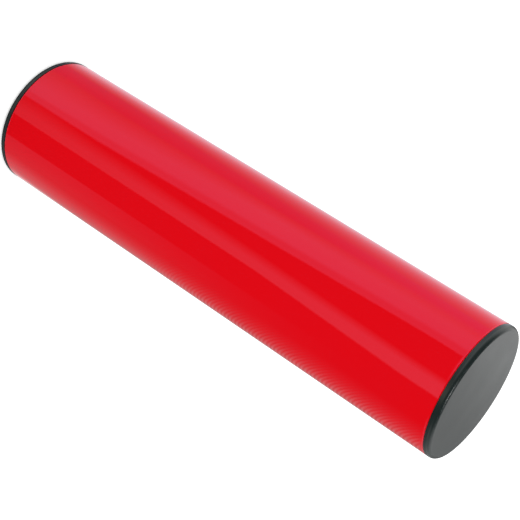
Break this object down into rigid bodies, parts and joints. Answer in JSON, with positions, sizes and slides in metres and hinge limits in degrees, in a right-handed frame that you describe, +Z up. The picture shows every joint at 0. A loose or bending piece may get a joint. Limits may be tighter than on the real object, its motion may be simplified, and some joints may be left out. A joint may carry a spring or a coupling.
{
  "type": "percussion shaker",
  "caption": "Hand-held cylindrical shaker: a lacquered metal tube closed by two flush plastic plug caps, with loose steel shot inside that slides along the tube.",
  "frame": {"origin": "centre of the lower cap's flat outer face, on which the shaker stands", "axes": "+Z up along the tube's axis, from the lower cap to the upper cap; X and Y are alike"},
  "size_m": [0.05, 0.05, 0.2],
  "materials": {
    "red_lacquer": "high-gloss clear red lacquer on metal",
    "black_plastic": "satin moulded black plastic, glossier on the rounded rim",
    "steel_shot": "smooth bright steel balls"
  },
  "bodies": {
    "shell": {"tube": "red_lacquer", "lower_cap": "black_plastic", "upper_cap": "black_plastic"},
    "shot_ball_01": {"shot_ball_01": "steel_shot"},
    "shot_ball_02": {"shot_ball_02": "steel_shot"},
    "shot_ball_03": {"shot_ball_03": "steel_shot"},
    "shot_ball_04": {"shot_ball_04": "steel_shot"},
    "shot_ball_05": {"shot_ball_05": "steel_shot"},
    "shot_ball_06": {"shot_ball_06": "steel_shot"},
    "shot_ball_07": {"shot_ball_07": "steel_shot"},
    "shot_ball_08": {"shot_ball_08": "steel_shot"},
    "shot_ball_09": {"shot_ball_09": "steel_shot"},
    "shot_ball_10": {"shot_ball_10": "steel_shot"},
    "shot_ball_11": {"shot_ball_11": "steel_shot"},
    "shot_ball_12": {"shot_ball_12": "steel_shot"},
    "shot_ball_13": {"shot_ball_13": "steel_shot"},
    "shot_ball_14": {"shot_ball_14": "steel_shot"},
    "shot_ball_15": {"shot_ball_15": "steel_shot"},
    "shot_ball_16": {"shot_ball_16": "steel_shot"},
    "shot_ball_17": {"shot_ball_17": "steel_shot"},
    "shot_ball_18": {"shot_ball_18": "steel_shot"},
    "shot_ball_19": {"shot_ball_19": "steel_shot"},
    "shot_ball_20": {"shot_ball_20": "steel_shot"},
    "shot_ball_21": {"shot_ball_21": "steel_shot"},
    "shot_ball_22": {"shot_ball_22": "steel_shot"},
    "shot_ball_23": {"shot_ball_23": "steel_shot"},
    "shot_ball_24": {"shot_ball_24": "steel_shot"},
    "shot_ball_25": {"shot_ball_25": "steel_shot"},
    "shot_ball_26": {"shot_ball_26": "steel_shot"},
    "shot_ball_27": {"shot_ball_27": "steel_shot"},
    "shot_ball_28": {"shot_ball_28": "steel_shot"},
    "shot_ball_29": {"shot_ball_29": "steel_shot"},
    "shot_ball_30": {"shot_ball_30": "steel_shot"},
    "shot_ball_31": {"shot_ball_31": "steel_shot"},
    "shot_ball_32": {"shot_ball_32": "steel_shot"},
    "shot_ball_33": {"shot_ball_33": "steel_shot"},
    "shot_ball_34": {"shot_ball_34": "steel_shot"},
    "shot_ball_35": {"shot_ball_35": "steel_shot"},
    "shot_ball_36": {"shot_ball_36": "steel_shot"},
    "shot_ball_37": {"shot_ball_37": "steel_shot"},
    "shot_ball_38": {"shot_ball_38": "steel_shot"},
    "shot_ball_39": {"shot_ball_39": "steel_shot"},
    "shot_ball_40": {"shot_ball_40": "steel_shot"},
    "shot_ball_41": {"shot_ball_41": "steel_shot"},
    "shot_ball_42": {"shot_ball_42": "steel_shot"},
    "shot_ball_43": {"shot_ball_43": "steel_shot"},
    "shot_ball_44": {"shot_ball_44": "steel_shot"},
    "shot_ball_45": {"shot_ball_45": "steel_shot"},
    "shot_ball_46": {"shot_ball_46": "steel_shot"},
    "shot_ball_47": {"shot_ball_47": "steel_shot"},
    "shot_ball_48": {"shot_ball_48": "steel_shot"},
    "shot_ball_49": {"shot_ball_49": "steel_shot"},
    "shot_ball_50": {"shot_ball_50": "steel_shot"},
    "shot_ball_51": {"shot_ball_51": "steel_shot"},
    "shot_ball_52": {"shot_ball_52": "steel_shot"},
    "shot_ball_53": {"shot_ball_53": "steel_shot"},
    "shot_ball_54": {"shot_ball_54": "steel_shot"},
    "shot_ball_55": {"shot_ball_55": "steel_shot"}
  },
  "joints": [
    {"name": "ball_01_travel", "type": "slide", "parent": "shell", "child": "shot_ball_01", "axis": [0, 0, 1], "range_m": [0, 0.1904]},
    {"name": "ball_02_travel", "type": "slide", "parent": "shell", "child": "shot_ball_02", "axis": [0, 0, 1], "range_m": [0, 0.1904]},
    {"name": "ball_03_travel", "type": "slide", "parent": "shell", "child": "shot_ball_03", "axis": [0, 0, 1], "range_m": [0, 0.1904]},
    {"name": "ball_04_travel", "type": "slide", "parent": "shell", "child": "shot_ball_04", "axis": [0, 0, 1], "range_m": [0, 0.1904]},
    {"name": "ball_05_travel", "type": "slide", "parent": "shell", "child": "shot_ball_05", "axis": [0, 0, 1], "range_m": [0, 0.1904]},
    {"name": "ball_06_travel", "type": "slide", "parent": "shell", "child": "shot_ball_06", "axis": [0, 0, 1], "range_m": [0, 0.1904]},
    {"name": "ball_07_travel", "type": "slide", "parent": "shell", "child": "shot_ball_07", "axis": [0, 0, 1], "range_m": [0, 0.1904]},
    {"name": "ball_08_travel", "type": "slide", "parent": "shell", "child": "shot_ball_08", "axis": [0, 0, 1], "range_m": [0, 0.1904]},
    {"name": "ball_09_travel", "type": "slide", "parent": "shell", "child": "shot_ball_09", "axis": [0, 0, 1], "range_m": [0, 0.1904]},
    {"name": "ball_10_travel", "type": "slide", "parent": "shell", "child": "shot_ball_10", "axis": [0, 0, 1], "range_m": [0, 0.1904]},
    {"name": "ball_11_travel", "type": "slide", "parent": "shell", "child": "shot_ball_11", "axis": [0, 0, 1], "range_m": [0, 0.1904]},
    {"name": "ball_12_travel", "type": "slide", "parent": "shell", "child": "shot_ball_12", "axis": [0, 0, 1], "range_m": [0, 0.1904]},
    {"name": "ball_13_travel", "type": "slide", "parent": "shell", "child": "shot_ball_13", "axis": [0, 0, 1], "range_m": [0, 0.1904]},
    {"name": "ball_14_travel", "type": "slide", "parent": "shell", "child": "shot_ball_14", "axis": [0, 0, 1], "range_m": [0, 0.1904]},
    {"name": "ball_15_travel", "type": "slide", "parent": "shell", "child": "shot_ball_15", "axis": [0, 0, 1], "range_m": [0, 0.1904]},
    {"name": "ball_16_travel", "type": "slide", "parent": "shell", "child": "shot_ball_16", "axis": [0, 0, 1], "range_m": [0, 0.1904]},
    {"name": "ball_17_travel", "type": "slide", "parent": "shell", "child": "shot_ball_17", "axis": [0, 0, 1], "range_m": [0, 0.1904]},
    {"name": "ball_18_travel", "type": "slide", "parent": "shell", "child": "shot_ball_18", "axis": [0, 0, 1], "range_m": [0, 0.1904]},
    {"name": "ball_19_travel", "type": "slide", "parent": "shell", "child": "shot_ball_19", "axis": [0, 0, 1], "range_m": [0, 0.1904]},
    {"name": "ball_20_travel", "type": "slide", "parent": "shell", "child": "shot_ball_20", "axis": [0, 0, 1], "range_m": [0, 0.1904]},
    {"name": "ball_21_travel", "type": "slide", "parent": "shell", "child": "shot_ball_21", "axis": [0, 0, 1], "range_m": [0, 0.1904]},
    {"name": "ball_22_travel", "type": "slide", "parent": "shell", "child": "shot_ball_22", "axis": [0, 0, 1], "range_m": [0, 0.1904]},
    {"name": "ball_23_travel", "type": "slide", "parent": "shell", "child": "shot_ball_23", "axis": [0, 0, 1], "range_m": [0, 0.1904]},
    {"name": "ball_24_travel", "type": "slide", "parent": "shell", "child": "shot_ball_24", "axis": [0, 0, 1], "range_m": [0, 0.1904]},
    {"name": "ball_25_travel", "type": "slide", "parent": "shell", "child": "shot_ball_25", "axis": [0, 0, 1], "range_m": [0, 0.1904]},
    {"name": "ball_26_travel", "type": "slide", "parent": "shell", "child": "shot_ball_26", "axis": [0, 0, 1], "range_m": [0, 0.1904]},
    {"name": "ball_27_travel", "type": "slide", "parent": "shell", "child": "shot_ball_27", "axis": [0, 0, 1], "range_m": [0, 0.1904]},
    {"name": "ball_28_travel", "type": "slide", "parent": "shell", "child": "shot_ball_28", "axis": [0, 0, 1], "range_m": [0, 0.1904]},
    {"name": "ball_29_travel", "type": "slide", "parent": "shell", "child": "shot_ball_29", "axis": [0, 0, 1], "range_m": [0, 0.1904]},
    {"name": "ball_30_travel", "type": "slide", "parent": "shell", "child": "shot_ball_30", "axis": [0, 0, 1], "range_m": [0, 0.1904]},
    {"name": "ball_31_travel", "type": "slide", "parent": "shell", "child": "shot_ball_31", "axis": [0, 0, 1], "range_m": [0, 0.1904]},
    {"name": "ball_32_travel", "type": "slide", "parent": "shell", "child": "shot_ball_32", "axis": [0, 0, 1], "range_m": [0, 0.1904]},
    {"name": "ball_33_travel", "type": "slide", "parent": "shell", "child": "shot_ball_33", "axis": [0, 0, 1], "range_m": [0, 0.1904]},
    {"name": "ball_34_travel", "type": "slide", "parent": "shell", "child": "shot_ball_34", "axis": [0, 0, 1], "range_m": [0, 0.1904]},
    {"name": "ball_35_travel", "type": "slide", "parent": "shell", "child": "shot_ball_35", "axis": [0, 0, 1], "range_m": [0, 0.1904]},
    {"name": "ball_36_travel", "type": "slide", "parent": "shell", "child": "shot_ball_36", "axis": [0, 0, 1], "range_m": [0, 0.1904]},
    {"name": "ball_37_travel", "type": "slide", "parent": "shell", "child": "shot_ball_37", "axis": [0, 0, 1], "range_m": [0, 0.1904]},
    {"name": "ball_38_travel", "type": "slide", "parent": "shell", "child": "shot_ball_38", "axis": [0, 0, 1], "range_m": [0, 0.1904]},
    {"name": "ball_39_travel", "type": "slide", "parent": "shell", "child": "shot_ball_39", "axis": [0, 0, 1], "range_m": [0, 0.1904]},
    {"name": "ball_40_travel", "type": "slide", "parent": "shell", "child": "shot_ball_40", "axis": [0, 0, 1], "range_m": [0, 0.1904]},
    {"name": "ball_41_travel", "type": "slide", "parent": "shell", "child": "shot_ball_41", "axis": [0, 0, 1], "range_m": [0, 0.1904]},
    {"name": "ball_42_travel", "type": "slide", "parent": "shell", "child": "shot_ball_42", "axis": [0, 0, 1], "range_m": [0, 0.1904]},
    {"name": "ball_43_travel", "type": "slide", "parent": "shell", "child": "shot_ball_43", "axis": [0, 0, 1], "range_m": [0, 0.1904]},
    {"name": "ball_44_travel", "type": "slide", "parent": "shell", "child": "shot_ball_44", "axis": [0, 0, 1], "range_m": [0, 0.1904]},
    {"name": "ball_45_travel", "type": "slide", "parent": "shell", "child": "shot_ball_45", "axis": [0, 0, 1], "range_m": [0, 0.1904]},
    {"name": "ball_46_travel", "type": "slide", "parent": "shell", "child": "shot_ball_46", "axis": [0, 0, 1], "range_m": [0, 0.1904]},
    {"name": "ball_47_travel", "type": "slide", "parent": "shell", "child": "shot_ball_47", "axis": [0, 0, 1], "range_m": [0, 0.1904]},
    {"name": "ball_48_travel", "type": "slide", "parent": "shell", "child": "shot_ball_48", "axis": [0, 0, 1], "range_m": [0, 0.1904]},
    {"name": "ball_49_travel", "type": "slide", "parent": "shell", "child": "shot_ball_49", "axis": [0, 0, 1], "range_m": [0, 0.1904]},
    {"name": "ball_50_travel", "type": "slide", "parent": "shell", "child": "shot_ball_50", "axis": [0, 0, 1], "range_m": [0, 0.1904]},
    {"name": "ball_51_travel", "type": "slide", "parent": "shell", "child": "shot_ball_51", "axis": [0, 0, 1], "range_m": [0, 0.1904]},
    {"name": "ball_52_travel", "type": "slide", "parent": "shell", "child": "shot_ball_52", "axis": [0, 0, 1], "range_m": [0, 0.1904]},
    {"name": "ball_53_travel", "type": "slide", "parent": "shell", "child": "shot_ball_53", "axis": [0, 0, 1], "range_m": [0, 0.1904]},
    {"name": "ball_54_travel", "type": "slide", "parent": "shell", "child": "shot_ball_54", "axis": [0, 0, 1], "range_m": [0, 0.1904]},
    {"name": "ball_55_travel", "type": "slide", "parent": "shell", "child": "shot_ball_55", "axis": [0, 0, 1], "range_m": [0, 0.1904]}
  ]
}
